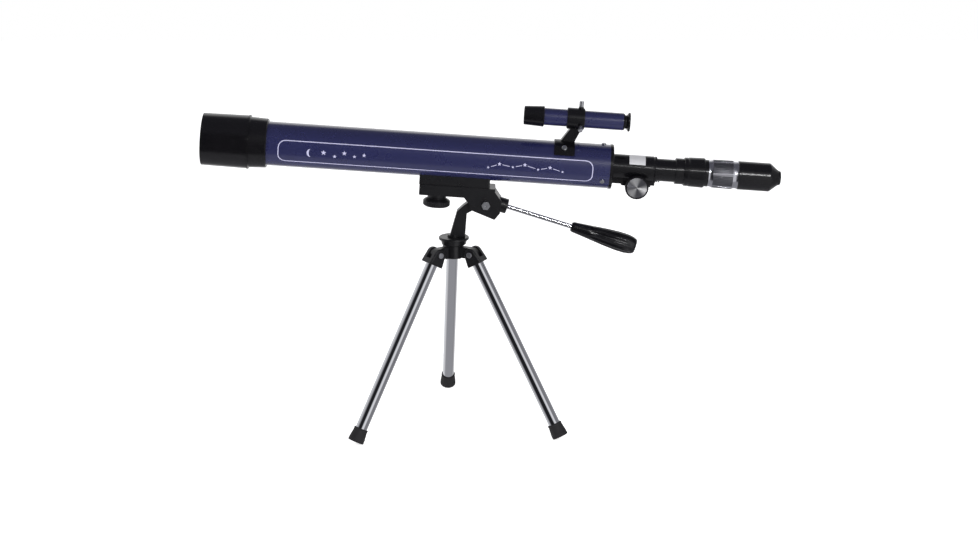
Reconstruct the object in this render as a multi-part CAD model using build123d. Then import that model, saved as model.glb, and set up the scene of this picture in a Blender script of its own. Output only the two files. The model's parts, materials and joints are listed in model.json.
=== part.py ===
from build123d import *
import math
import os

# Tabletop refractor telescope on a folding tripod, millimetres, +Z up.
# The telescope lies along X with its objective at -X and its eyepiece at +X.
# While it is modelled, the panning axis stands at X = Y = 0 and the feet rest on Z = 0; the whole
# object is moved at the end so that its origin is the bottom centre of its bounding box.

# Optical tube. Stations run along its axis from the datum towards the eyepiece.
TUBE_DATUM = (-224.8, 0, 374.9)
TUBE_TILT = 4.0
TUBE_RADIUS = 28.0
TUBE_WALL = 1.2
TUBE_FRONT = -27.0
TUBE_REAR = 424.0
END_SCREW_STATION = 415.0

# Objective cell and dew shield
CELL_REAR = -11.0
FLANGE_FRONT = -36.0
SPIGOT_FRONT = -62.0
SPIGOT_RADIUS = 30.6
HOOD_FRONT = -94.0
HOOD_BORE = 31.3
LENS_RADIUS = 26.0
CLEAR_APERTURE = 25.0
RUNNING_GAP = 0.08

# Focuser, with a rack and pinion of this tooth size
PITCH_RADIUS = 4.0
PINION_TEETH = 10
TOOTH_PITCH = 2 * math.pi * PITCH_RADIUS / PINION_TEETH
TOOTH_TIP = 0.55
TOOTH_ROOT = 1.4
PINION_STATION = 459.4
PINION_HEIGHT = -19.2
PITCH_LINE = PINION_HEIGHT + PITCH_RADIUS
BARREL_RADIUS = 16.7
BARREL_REAR = 484.0
DRAWTUBE_RADIUS = 14.35
DRAWTUBE_BORE = 13.0
DRAWTUBE_FRONT = 405.0
COLLAR_FRONT = 508.0
COLLAR_REAR = 519.0
RACK_TEETH = 32
RACK_WIDTH = 6.0
SHAFT_RADIUS = 1.5
KNOB_RADIUS = 15.0
KNOB_INNER = 17.2
KNOB_OUTER = 28.5

# Eyepiece
SLEEVE_RADIUS = 12.25
ZOOM_FRONT = 550.0
ZOOM_REAR = 588.0
ZOOM_BORE = 14.3
EYEPIECE_REAR = 643.0

# Finder
FINDER_HEIGHT = 59.0
FINDER_RADIUS = 11.0
FINDER_FRONT = 330.0
FINDER_REAR = 437.0
BRACKET_FRONT = 365.6
BRACKET_REAR = 387.7
BRACKET_BORE = 11.5
THUMBSCREW_STATION = 382.6
THUMBSCREW_ANGLES = {"top": 90.0, "near": -30.0, "far": 210.0}
SHOE_SCREW_ANGLE = 51.0
SHOE_SCREW_STATION = 364.5

# Saddle and tilt head, in the telescope's own stations and heights
SADDLE_FRONT = 184.0
SADDLE_REAR = 274.0
SADDLE_BOTTOM = -36.4
PLATFORM_BOTTOM = -50.0
PLATFORM_HALF_WIDTH = 16.0
PIVOT_STATION = 270.5
PIVOT_HEIGHT = -58.0
SLOT_HALF_WIDTH = 7.0
BOLT_RADIUS = 3.5
CAMERA_SCREW_STATION = 207.6
CAMERA_SCREW_RADIUS = 3.17
CAMERA_KNOB_RADIUS = 17.3
CAMERA_KNOB_BOTTOM = -66.0

# Pan handle, along its own axis from a point on the head
HANDLE_POINT = (300.6, -61.9)
HANDLE_SLOPE = 13.8
ROD_RADIUS = 3.0
GRIP_FRONT = 84.0
GRIP_REAR = 170.5

# Tripod head and hub
NECK_HALF_WIDTH = 6.6
SPIGOT_BOTTOM = 232.0
NECK_SPIGOT_RADIUS = 8.0
HUB_RADIUS = 12.4
HUB_BOTTOM = 226.0
HUB_TOP = 243.0
PAN_RING_BOTTOM = 243.3
PAN_RING_TOP = 253.3
PAN_RING_RADIUS = 19.4

# Legs
LEG_ANGLES = (214.4, 334.4, 94.4)
PIN_REACH = 27.3
PIN_HEIGHT = 234.0
LEG_SPLAY = 28.5
PIN_RADIUS = 1.9
BRACKET_HALF_WIDTH = 11.0
BRACKET_END = 14.7
LEG_TUBE_RADIUS = 7.75
LEG_TUBE_TOP = 9.0
FOOT_TOP = 242.6
FOOT_BOTTOM = 261.1

ON_TUBE = Pos(*TUBE_DATUM) * Rot(0, TUBE_TILT, 0)
ON_FINDER = ON_TUBE * Pos(0, 0, FINDER_HEIGHT)
ON_HANDLE = ON_TUBE * Pos(HANDLE_POINT[0], 0, HANDLE_POINT[1]) * Rot(0, HANDLE_SLOPE, 0)


# --- shapes that many pieces share ---


def outline_face(outline, rounding=0.0):
    """A flat face inside the outline, with its corners off the X axis rounded."""
    face = make_face(Polyline(*outline, close=True))
    if rounding:
        face = fillet([v for v in face.vertices() if v.Y > 0.01], rounding)
    return face


def turned(outline, rounding=0.0):
    """A solid turned about the X axis, from (station, radius) points."""
    return revolve(outline_face(outline, rounding), Axis.X)


def sleeve(front, rear, outer, inner, rounding=0.0):
    """A hollow cylinder along X."""
    return turned([(front, inner), (rear, inner), (rear, outer), (front, outer)], rounding)


def bar_x(front, rear, radius):
    """A round bar along X."""
    return Pos((front + rear) / 2, 0, 0) * Rot(0, 90, 0) * Cylinder(radius, rear - front)


def bar_y(x, z, start, end, radius):
    """A round bar along Y."""
    return Pos(x, (start + end) / 2, z) * Rot(90, 0, 0) * Cylinder(radius, end - start)


def bar_z(x, y, bottom, top, radius):
    """A round bar along Z."""
    return Pos(x, y, (bottom + top) / 2) * Cylinder(radius, top - bottom)


def block(x0, x1, y0, y1, z0, z1):
    """A rectangular block between two corners."""
    return Pos((x0 + x1) / 2, (y0 + y1) / 2, (z0 + z1) / 2) * Box(x1 - x0, y1 - y0, z1 - z0)


def plate(sketch, start, end):
    """A flat piece across Y, from a sketch whose own X and Y are X and Z here."""
    return Pos(0, end, 0) * Rot(90, 0, 0) * extrude(sketch, end - start)


def rounded_plate(outline, start, end, rounding):
    """A plate from an outline with every corner rounded."""
    face = make_face(Polyline(*outline, close=True))
    return plate(fillet(face.vertices(), rounding), start, end)


def pan_head(radius, height):
    """A pan-head screw's head on Z = 0, with a cross recess."""
    head = fillet(bar_z(0, 0, 0, height, radius).edges().sort_by(Axis.Z)[-1], height * 0.6)
    arm = radius * 0.55
    slot = radius * 0.13
    head -= block(-arm, arm, -slot, slot, height * 0.45, height)
    head -= block(-slot, slot, -arm, arm, height * 0.45, height)
    return head


def grooved(solid, count, radius, groove, low, high):
    """Cuts evenly spaced round grooves along Z into a solid's rim."""
    cutters = [
        Rot(0, 0, 360 * k / count) * bar_z(radius, 0, low, high, groove) for k in range(count)
    ]
    return solid - cutters


# --- optical tube ---


def dew_shield():
    """Slightly flared hood with a rounded lip and a step that bears on the cell's spigot."""
    rear = FLANGE_FRONT - 0.3
    bearing = SPIGOT_RADIUS + RUNNING_GAP
    face = make_face(
        Polyline(
            (HOOD_FRONT, HOOD_BORE),
            (SPIGOT_FRONT - 1, HOOD_BORE),
            (SPIGOT_FRONT, bearing),
            (rear, bearing),
            (rear, 33.8),
            (HOOD_FRONT, 33.1),
            close=True,
        )
    )
    front = face.vertices().sort_by(Axis.X)[0:2]
    return revolve(fillet(front, 0.75), Axis.X)


def objective_cell():
    """Moulded cell: spigot for the dew shield, seat for the lenses, socket for the tube."""
    return turned(
        [
            (SPIGOT_FRONT, LENS_RADIUS),
            (SPIGOT_FRONT, SPIGOT_RADIUS),
            (FLANGE_FRONT, SPIGOT_RADIUS),
            (FLANGE_FRONT, 34.4),
            (FLANGE_FRONT + 2.2, 34.4),
            (FLANGE_FRONT + 3.0, 32.2),
            (CELL_REAR - 1.0, 31.3),
            (CELL_REAR, 30.3),
            (CELL_REAR, TUBE_RADIUS),
            (TUBE_FRONT, TUBE_RADIUS),
            (TUBE_FRONT, CLEAR_APERTURE),
            (TUBE_FRONT - 4.0, CLEAR_APERTURE),
            (TUBE_FRONT - 4.0, LENS_RADIUS),
        ]
    )


def lens_point(rim, bulge, outward, radius, reach):
    """A point on a spherical lens face that stands out by its bulge from the rim."""
    ball = (radius**2 + bulge**2) / (2 * bulge)
    drop = ball - math.copysign(math.sqrt(ball**2 - reach**2), ball)
    return (rim + outward * (bulge - drop), reach)


def lens(front, rear, radius, front_bulge, rear_bulge):
    """A lens along X, polished to a flat at its very middle; a negative bulge is hollow."""
    flat = 0.3
    reaches = (flat, radius / 2, radius)
    back_face = [lens_point(rear, rear_bulge, 1, radius, reach) for reach in reaches]
    front_face = [lens_point(front, front_bulge, -1, radius, reach) for reach in reaches]
    outline = Polyline(front_face[0], (front_face[0][0], 0), (back_face[0][0], 0), back_face[0])
    outline += ThreePointArc(*back_face)
    outline += Line(back_face[2], front_face[2])
    outline += ThreePointArc(*reversed(front_face))
    return revolve(make_face(outline), Axis.X)


def objective_retainer():
    """Threaded ring in front of the lenses, with two spanner slots."""
    ring = sleeve(-46.5, -42.6, LENS_RADIUS, 24.2)
    return ring - block(-46.5, -45.0, -30, 30, -1, 1)


def tube_baffles():
    """Two thin flanged light stops pressed inside the tube."""
    inner = TUBE_RADIUS - TUBE_WALL
    stops = []
    for station, opening in ((130.0, 20.0), (280.0, 14.5)):
        disc = sleeve(station, station + 0.8, inner, opening)
        rim = sleeve(station + 0.8, station + 6.0, inner, inner - 0.8)
        stops.append(disc + rim)
    return Part() + stops


def tube_screws():
    """Three pan-head screws through the tube into the focuser's plug."""
    screws = []
    for angle in (90.0, -30.0, 210.0):
        place = Pos(END_SCREW_STATION, 0, 0) * Rot(90 - angle, 0, 0)
        shank = bar_z(0, 0, TUBE_RADIUS - 4.5, TUBE_RADIUS + 0.1, 1.5)
        screw = Pos(0, 0, TUBE_RADIUS + 0.1) * pan_head(3.0, 1.9) + shank
        screws.append(place * screw)
    return Part() + screws


# --- focuser ---


def focuser_body():
    """One moulding: plug inside the tube, end flange, barrel and the pinion's block."""
    plug = TUBE_RADIUS - TUBE_WALL
    bore = DRAWTUBE_RADIUS + RUNNING_GAP
    body = turned(
        [
            (404.0, plug - 2.6),
            (404.0, plug),
            (TUBE_REAR, plug),
            (TUBE_REAR, 28.6),
            (TUBE_REAR + 3.2, 28.6),
            (TUBE_REAR + 4.0, 27.8),
            (TUBE_REAR + 4.0, BARREL_RADIUS + 1.2),
            (TUBE_REAR + 5.2, BARREL_RADIUS),
            (BARREL_REAR - 4.0, BARREL_RADIUS),
            (BARREL_REAR - 3.0, BARREL_RADIUS - 0.7),
            (BARREL_REAR - 2.0, BARREL_RADIUS),
            (BARREL_REAR, BARREL_RADIUS),
            (BARREL_REAR, bore),
            (TUBE_REAR - 3.0, bore),
            (TUBE_REAR - 3.0, plug - 2.6),
        ]
    )
    pinion_block = block(TUBE_REAR + 4, BARREL_REAR - 1, -9, 9, PINION_HEIGHT, -10)
    pinion_block = fillet(pinion_block.edges().filter_by(Axis.Z), 1.5)
    body += pinion_block - bar_x(TUBE_REAR, BARREL_REAR + 1, BARREL_RADIUS - 0.5)
    rack_way = RACK_WIDTH / 2 + 0.3
    body -= block(TUBE_REAR - 4, BARREL_REAR + 1, -rack_way, rack_way, -16.4, -12)
    body -= bar_y(PINION_STATION, PINION_HEIGHT, -3.4, 3.4, PITCH_RADIUS + 1.1)
    body -= bar_y(PINION_STATION, PINION_HEIGHT, -12, 12, SHAFT_RADIUS + RUNNING_GAP)
    for angle in (90.0, -30.0, 210.0):
        place = Pos(END_SCREW_STATION, 0, 0) * Rot(90 - angle, 0, 0)
        body -= place * bar_z(0, 0, 20, 30, 1.5)
    for station in (444.5, 474.3):
        body -= bar_z(station, 0, PINION_HEIGHT - 1, PINION_HEIGHT + 2.6, 1.2)
    return body


def main_tube():
    """Drawn aluminium tube, open at both ends, with the holes that its fasteners pass through."""
    tube = sleeve(TUBE_FRONT, TUBE_REAR, TUBE_RADIUS, TUBE_RADIUS - TUBE_WALL)
    for angle in (90.0, -30.0, 210.0):
        place = Pos(END_SCREW_STATION, 0, 0) * Rot(90 - angle, 0, 0)
        tube -= place * bar_z(0, 0, 20, 30, 1.5)
    for angle in (SHOE_SCREW_ANGLE, 180 - SHOE_SCREW_ANGLE):
        place = Pos(SHOE_SCREW_STATION, 0, 0) * Rot(90 - angle, 0, 0)
        tube -= place * bar_z(0, 0, 20, 30, 1.5)
    for station in (SADDLE_FRONT + 52, SADDLE_REAR - 12):
        tube -= bar_z(station, 0, -30, -20, 2.0)
    return tube


def foil_label():
    """Blank square of silver foil on the barrel's upper near side."""
    patch = make_face(
        Plane.XZ
        * Polyline(
            (448.5, BARREL_RADIUS),
            (469.0, BARREL_RADIUS),
            (469.0, BARREL_RADIUS + 0.15),
            (448.5, BARREL_RADIUS + 0.15),
            close=True,
        )
    )
    return Rot(-10, 0, 0) * revolve(patch, Axis.X, 72)


def drawtube():
    """Focusing tube with a slot along its underside that holds the rack."""
    tube = sleeve(DRAWTUBE_FRONT, COLLAR_FRONT, DRAWTUBE_RADIUS, DRAWTUBE_BORE)
    half = RACK_WIDTH / 2
    return tube - block(*rack_ends(), -half, half, -16, -12)


def rack_ends():
    """The rack's first and last stations, with the pinion's tooth in a gap at rest."""
    front = PINION_STATION - 20 * TOOTH_PITCH
    return front, front + RACK_TEETH * TOOTH_PITCH


def focus_rack():
    """Straight rack in the drawtube's slot, its teeth pointing down."""
    front, rear = rack_ends()
    half = RACK_WIDTH / 2
    root = PITCH_LINE + 0.8
    rack = block(front, rear, -half, half, root, -12.9)
    tip = PITCH_LINE - 0.7
    for k in range(RACK_TEETH):
        middle = front + (k + 0.5) * TOOTH_PITCH
        tooth = make_face(
            Polyline(
                (middle - TOOTH_ROOT / 2, root),
                (middle - TOOTH_TIP / 2, tip),
                (middle + TOOTH_TIP / 2, tip),
                (middle + TOOTH_ROOT / 2, root),
                close=True,
            )
        )
        rack += plate(tooth, -half, half)
    return rack


def focus_pinion():
    """Pinion cut on its own shaft, with its first tooth pointing up into the rack."""
    root = PITCH_RADIUS - 1.0
    tip = PITCH_RADIUS + 0.7
    sketch = Circle(root)
    for k in range(PINION_TEETH):
        tooth = make_face(
            Polyline(
                (-TOOTH_ROOT / 2, root - 0.3),
                (-TOOTH_TIP / 2, tip),
                (TOOTH_TIP / 2, tip),
                (TOOTH_ROOT / 2, root - 0.3),
                close=True,
            )
        )
        sketch += Rot(0, 0, 360 * k / PINION_TEETH) * tooth
    gear = plate(sketch, -2.9, 2.9)
    shaft = bar_y(0, 0, 1 - KNOB_OUTER, KNOB_OUTER - 1, SHAFT_RADIUS)
    return Pos(PINION_STATION, 0, PINION_HEIGHT) * (gear + shaft)


def focus_knob():
    """Knob about Z, its hub below and its rim above, dished to take a disc."""
    inner = KNOB_INNER
    outer = KNOB_OUTER
    knob = turned(
        [
            (9.5, SHAFT_RADIUS),
            (9.5, 5.0),
            (inner, 5.0),
            (inner, KNOB_RADIUS - 1.5),
            (inner + 1.5, KNOB_RADIUS),
            (outer - 1.2, KNOB_RADIUS),
            (outer, KNOB_RADIUS - 1.2),
            (outer, 13.2),
            (outer - 1.0, 13.0),
            (outer - 1.0, SHAFT_RADIUS),
        ]
    )
    return grooved(Rot(0, -90, 0) * knob, 40, KNOB_RADIUS + 0.45, 0.9, inner, outer)


def focus_knob_near():
    """Knob on the side towards the user's left, facing -Y."""
    return Pos(PINION_STATION, 0, PINION_HEIGHT) * Rot(90, 0, 0) * focus_knob()


def focus_knob_far():
    """The same knob facing +Y."""
    return Pos(PINION_STATION, 0, PINION_HEIGHT) * Rot(-90, 0, 0) * focus_knob()


def focus_knob_discs():
    """Thin spun aluminium discs in the faces of the two knobs."""
    floor = KNOB_OUTER - 1.0
    disc = fillet(bar_z(0, 0, floor, floor + 0.9, 12.9).edges().sort_by(Axis.Z)[-1], 0.3)
    place = Pos(PINION_STATION, 0, PINION_HEIGHT)
    return Part() + [place * Rot(90, 0, 0) * disc, place * Rot(-90, 0, 0) * disc]


def pinion_cover():
    """Plate under the block that carries the lower half of the pinion's bearings."""
    cover = block(440.5, 478.3, -9, 9, PINION_HEIGHT - 2.2, PINION_HEIGHT)
    cover = fillet(cover.edges().filter_by(Axis.Z), 3.0)
    hump = bar_y(PINION_STATION, PINION_HEIGHT, -7.5, 7.5, PITCH_RADIUS + 2.8)
    hump = fillet(hump.edges(), 0.8)
    cover += hump & block(440, 480, -9, 9, PINION_HEIGHT - 10, PINION_HEIGHT)
    cover -= bar_y(PINION_STATION, PINION_HEIGHT, -3.4, 3.4, PITCH_RADIUS + 1.1)
    cover -= bar_y(PINION_STATION, PINION_HEIGHT, -12, 12, SHAFT_RADIUS + RUNNING_GAP)
    for station in (444.5, 474.3):
        cover -= bar_z(station, 0, PINION_HEIGHT - 3, PINION_HEIGHT + 1, 1.2)
    return cover


def pinion_cover_screws():
    """Two small pan-head screws that hold the pinion's cover from below."""
    screws = []
    for station in (444.5, 474.3):
        shank = bar_z(0, 0, -4.6, 0, 1.2)
        screw = Rot(180, 0, 0) * (pan_head(2.4, 1.6) + shank)
        screws.append(Pos(station, 0, PINION_HEIGHT - 2.2) * screw)
    return Part() + screws


def drawtube_collar():
    """Collar closing the drawtube, bored for the eyepiece's sleeve."""
    bore = SLEEVE_RADIUS + RUNNING_GAP
    return turned(
        [
            (COLLAR_FRONT - 8, bore),
            (COLLAR_FRONT - 8, DRAWTUBE_BORE),
            (COLLAR_FRONT, DRAWTUBE_BORE),
            (COLLAR_FRONT, 16.1),
            (COLLAR_FRONT + 0.5, 16.6),
            (COLLAR_REAR - 0.5, 16.6),
            (COLLAR_REAR, 16.1),
            (COLLAR_REAR, bore),
        ]
    )


# --- eyepiece ---


def eyepiece_sleeve():
    """Thin chromed sleeve that slides into the drawtube's collar."""
    return sleeve(488.0, 525.0, SLEEVE_RADIUS, SLEEVE_RADIUS - 0.7)


def eyepiece_body():
    """Lower barrel of the eyepiece with the spigot that the zoom ring turns on."""
    front = COLLAR_REAR + 0.3
    return turned(
        [
            (front, SLEEVE_RADIUS),
            (front, 17.6),
            (front + 0.5, 18.1),
            (524.0, 18.3),
            (524.8, 17.9),
            (525.6, 18.6),
            (544.2, 19.1),
            (545.4, 18.4),
            (546.0, 17.2),
            (ZOOM_FRONT - 0.3, 17.2),
            (ZOOM_FRONT - 0.3, ZOOM_BORE - RUNNING_GAP),
            (600.0, ZOOM_BORE - RUNNING_GAP),
            (600.0, 12.3),
            (527.0, 12.3),
            (527.0, 11.0),
            (525.0, 11.0),
            (525.0, SLEEVE_RADIUS),
        ]
    )


def zoom_ring():
    """Silver zoom ring: two plain rims and a waist of long panels with fine ribs."""
    ring = turned(
        [
            (ZOOM_FRONT, ZOOM_BORE),
            (ZOOM_FRONT, 17.0),
            (ZOOM_FRONT + 0.6, 17.5),
            (ZOOM_FRONT + 3.6, 17.7),
            (ZOOM_FRONT + 4.0, 17.3),
            (ZOOM_REAR - 5.2, 18.1),
            (ZOOM_REAR - 4.8, 18.5),
            (ZOOM_REAR - 0.6, 18.7),
            (ZOOM_REAR, 18.1),
            (ZOOM_REAR, ZOOM_BORE),
        ]
    )
    ribs = []
    for panel in range(8):
        for k in range(7):
            turn = 45 * panel + 5.2 * (k - 3)
            rib = Pos(0, 0, 17.35) * Rot(0, 1.35, 0) * Box(25.0, 0.8, 0.9)
            ribs.append(Rot(turn, 0, 0) * Pos((ZOOM_FRONT + ZOOM_REAR) / 2 - 0.6, 0, 0) * rib)
    return ring + ribs


def zoom_carrier():
    """Sliding carrier inside the spigot that holds the moving lens."""
    return sleeve(562.0, 574.0, 12.1, 9.0)


def eyepiece_end():
    """Eye-end barrel with its long chamfer and a small recess for the eye."""
    front = ZOOM_REAR + 0.3
    return turned(
        [
            (front, ZOOM_BORE - RUNNING_GAP),
            (front, 17.7),
            (front + 0.5, 18.2),
            (628.6, 18.2),
            (629.6, 17.9),
            (639.6, 9.8),
            (640.6, 9.4),
            (EYEPIECE_REAR - 0.5, 8.8),
            (EYEPIECE_REAR, 8.3),
            (EYEPIECE_REAR, 6.4),
            (639.0, 5.2),
            (638.0, 5.2),
            (638.0, 7.0),
            (633.0, 7.0),
            (633.0, 12.3),
            (600.0, 12.3),
            (600.0, ZOOM_BORE - RUNNING_GAP),
        ]
    )


# --- finder, in its own frame with its axis on X ---


def finder_tube():
    """Thin painted tube."""
    return sleeve(FINDER_FRONT - 12, FINDER_REAR, FINDER_RADIUS, FINDER_RADIUS - 0.9, 0.25)


def finder_hood():
    """Moulded hood pushed over the finder tube's front, holding its objective."""
    return turned(
        [
            (311.0, 10.0),
            (311.0, 11.5),
            (311.4, 11.9),
            (335.8, 13.2),
            (336.5, 12.6),
            (336.5, FINDER_RADIUS),
            (318.0, FINDER_RADIUS),
            (318.0, 10.0),
        ]
    )


def finder_eyecup():
    """Flared eyecup that turns in the finder tube to focus."""
    return turned(
        [
            (428.0, 8.6),
            (428.0, FINDER_RADIUS - 0.9 - RUNNING_GAP),
            (FINDER_REAR + 0.3, FINDER_RADIUS - 0.9 - RUNNING_GAP),
            (FINDER_REAR + 0.3, 10.4),
            (FINDER_REAR + 1.2, 10.4),
            (FINDER_REAR + 2.0, 8.6),
            (FINDER_REAR + 4.0, 8.6),
            (443.5, 12.1),
            (445.2, 12.1),
            (445.6, 11.6),
            (442.2, 5.6),
            (440.5, 4.6),
            (439.6, 4.6),
            (439.6, 6.2),
            (434.0, 6.2),
            (434.0, 8.6),
        ]
    )


def finder_bracket():
    """One moulding, in the main tube's frame: ring, leaning stalk and curved shoe."""
    ring = Pos(0, 0, FINDER_HEIGHT) * sleeve(BRACKET_FRONT, BRACKET_REAR, 13.5, BRACKET_BORE, 0.5)
    shoe = revolve(
        make_face(
            Plane.XZ
            * Polyline(
                (351.5, TUBE_RADIUS),
                (378.0, TUBE_RADIUS),
                (377.4, TUBE_RADIUS + 2.6),
                (352.1, TUBE_RADIUS + 2.6),
                close=True,
            )
        ),
        Axis.X,
    )
    keep = plate(
        make_face(Polyline((340, 16), (340, 40), (390, 40), (390, 16), close=True)), -40, 40
    )
    shoe = shoe & keep
    stalk = rounded_plate(
        [(355.5, 24.0), (374.5, 24.0), (385.0, 47.5), (372.5, 49.5)], -5.5, 5.5, 1.0
    )
    stalk -= Pos(0, 0, FINDER_HEIGHT) * bar_x(350, 400, BRACKET_BORE + 0.6)
    stalk -= bar_x(340, 400, TUBE_RADIUS + 0.6)
    bracket = ring + shoe + stalk
    for angle in THUMBSCREW_ANGLES.values():
        place = Pos(THUMBSCREW_STATION, 0, FINDER_HEIGHT) * Rot(90 - angle, 0, 0)
        bracket += place * bar_z(0, 0, 12.4, 15.4, 3.4)
        bracket -= place * bar_z(0, 0, 9.0, 17.0, 1.5 + RUNNING_GAP)
    for angle in (SHOE_SCREW_ANGLE, 180 - SHOE_SCREW_ANGLE):
        place = Pos(SHOE_SCREW_STATION, 0, 0) * Rot(90 - angle, 0, 0)
        bracket -= place * bar_z(0, 0, 20, 40, 1.5)
    return bracket


def finder_thumbscrew(angle):
    """Knurled thumbscrew that bears on the finder tube."""
    head = fillet(bar_z(0, 0, 15.8, 23.0, 2.9).edges(), 0.5)
    head = grooved(head, 16, 3.05, 0.35, 16.4, 22.4)
    screw = head + bar_z(0, 0, FINDER_RADIUS + 0.1, 16.0, 1.5)
    return Pos(THUMBSCREW_STATION, 0, 0) * Rot(90 - angle, 0, 0) * screw


def shoe_screws():
    """Two pan-head screws that hold the shoe to the main tube."""
    screws = []
    for angle in (SHOE_SCREW_ANGLE, 180 - SHOE_SCREW_ANGLE):
        place = Pos(SHOE_SCREW_STATION, 0, 0) * Rot(90 - angle, 0, 0)
        seat = TUBE_RADIUS + 2.6
        screw = Pos(0, 0, seat) * pan_head(3.5, 2.2) + bar_z(0, 0, 25.0, seat + 0.1, 1.5)
        screws.append(place * screw)
    return Part() + screws


# --- saddle and tilt head, in the tube's frame ---


def tube_saddle():
    """Cradle moulded to the tube's underside, with a hole for the camera screw."""
    saddle = block(SADDLE_FRONT, SADDLE_REAR, -15, 15, SADDLE_BOTTOM, -22.8)
    saddle = fillet(saddle.edges().filter_by(Axis.Z), 2.0)
    saddle -= bar_x(SADDLE_FRONT - 5, SADDLE_REAR + 5, TUBE_RADIUS)
    saddle -= bar_z(CAMERA_SCREW_STATION, 0, -40, -29.5, CAMERA_SCREW_RADIUS + RUNNING_GAP)
    for station in (SADDLE_FRONT + 52, SADDLE_REAR - 12):
        saddle -= bar_z(station, 0, -34, -20, 2.0)
    return saddle


def saddle_screws():
    """Two screws driven from inside the tube down into the saddle."""
    screws = []
    for station in (SADDLE_FRONT + 52, SADDLE_REAR - 12):
        screw = Pos(0, 0, -26.5) * pan_head(3.5, 2.2) + bar_z(0, 0, -33.5, -26.4, 2.0)
        screws.append(Pos(station, 0, 0) * screw)
    return Part() + screws


def tilt_block():
    """Cast head: platform above, two cheeks below and the socket for the handle."""
    platform = block(
        SADDLE_FRONT + 0.6,
        281.5,
        -PLATFORM_HALF_WIDTH,
        PLATFORM_HALF_WIDTH,
        PLATFORM_BOTTOM,
        SADDLE_BOTTOM,
    )
    platform = fillet(platform.edges().filter_by(Axis.Z), 2.5)
    cheeks = rounded_plate(
        [
            (240.5, -46.0),
            (243.0, -51.0),
            (248.5, -57.0),
            (251.8, -65.6),
            (282.8, -76.4),
            (289.2, -67.5),
            (290.5, -52.5),
            (279.5, -38.0),
        ],
        -PLATFORM_HALF_WIDTH,
        PLATFORM_HALF_WIDTH,
        1.5,
    )
    socket = Rot(0, HANDLE_SLOPE, 0) * bar_x(-16.0, -2.5, 9.6)
    socket = fillet(socket.edges().sort_by(Axis.X)[-1], 1.2)
    socket = Pos(HANDLE_POINT[0], 0, HANDLE_POINT[1]) * socket
    casting = platform + cheeks + socket
    slot = bar_y(PIVOT_STATION, PIVOT_HEIGHT, -SLOT_HALF_WIDTH, SLOT_HALF_WIDTH, 12.5)
    slot += block(238, PIVOT_STATION, -SLOT_HALF_WIDTH, SLOT_HALF_WIDTH, -80, -45.5)
    slot += block(238, 283, -SLOT_HALF_WIDTH, SLOT_HALF_WIDTH, -80, PIVOT_HEIGHT)
    casting -= slot
    casting -= bar_y(PIVOT_STATION, PIVOT_HEIGHT, -20, 20, BOLT_RADIUS)
    casting -= bar_z(CAMERA_SCREW_STATION, 0, -60, -30, CAMERA_SCREW_RADIUS + 0.3)
    rod_hole = Rot(0, HANDLE_SLOPE, 0) * bar_x(-16.5, 0, ROD_RADIUS + RUNNING_GAP)
    casting -= Pos(HANDLE_POINT[0], 0, HANDLE_POINT[1]) * rod_hole
    return casting


def camera_screw():
    """Quarter-inch screw that holds the saddle down on the platform."""
    return bar_z(CAMERA_SCREW_STATION, 0, CAMERA_KNOB_BOTTOM + 2, -30.5, CAMERA_SCREW_RADIUS)


def camera_screw_knob():
    """Knurled knob under the platform with a conical neck."""
    profile = [
        (CAMERA_KNOB_BOTTOM, 0),
        (CAMERA_KNOB_BOTTOM, CAMERA_KNOB_RADIUS - 1.5),
        (CAMERA_KNOB_BOTTOM + 1.5, CAMERA_KNOB_RADIUS),
        (-59.4, CAMERA_KNOB_RADIUS),
        (-58.0, CAMERA_KNOB_RADIUS - 1.4),
        (-55.5, 11.5),
        (PLATFORM_BOTTOM - 0.3, 13.2),
        (PLATFORM_BOTTOM - 0.3, 0),
    ]
    knob = Rot(0, -90, 0) * turned(profile)
    knob = grooved(knob, 36, CAMERA_KNOB_RADIUS + 0.5, 1.0, CAMERA_KNOB_BOTTOM, -58.0)
    knob -= bar_z(0, 0, CAMERA_KNOB_BOTTOM + 2, -40, CAMERA_SCREW_RADIUS)
    return Pos(CAMERA_SCREW_STATION, 0, 0) * knob


def tilt_bolt():
    """Hexagon-head bolt across the cheeks; its head has a drilled centre."""
    head = Pos(0, 0, PLATFORM_HALF_WIDTH) * extrude(RegularPolygon(5.6, 6), 4.2)
    head -= bar_z(0, 0, PLATFORM_HALF_WIDTH + 2.6, PLATFORM_HALF_WIDTH + 5, 1.6)
    shank = bar_z(0, 0, -30.0, PLATFORM_HALF_WIDTH + 0.1, BOLT_RADIUS)
    return Pos(PIVOT_STATION, 0, PIVOT_HEIGHT) * Rot(90, 0, 0) * (head + shank)


def tilt_lock_knob():
    """Knurled knob on the far end of the tilt bolt."""
    start = PLATFORM_HALF_WIDTH + 0.4
    profile = [
        (start, BOLT_RADIUS + RUNNING_GAP),
        (start, 8.0),
        (start + 5.0, 8.0),
        (start + 6.0, 14.6),
        (start + 7.2, 15.8),
        (start + 16.8, 15.8),
        (start + 18.0, 14.6),
        (start + 18.0, 0),
        (30.2, 0),
        (30.2, BOLT_RADIUS + RUNNING_GAP),
    ]
    knob = Rot(0, -90, 0) * turned(profile)
    knob = grooved(knob, 30, 16.5, 1.3, start + 5.5, start + 18.5)
    return Pos(PIVOT_STATION, 0, PIVOT_HEIGHT) * Rot(-90, 0, 0) * knob


# --- handle, along X from its point on the head ---


def handle_rod():
    """Chromed rod from the head's socket into the grip."""
    return fillet(bar_x(-15.5, GRIP_FRONT + 40, ROD_RADIUS).edges(), 0.4)


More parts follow.
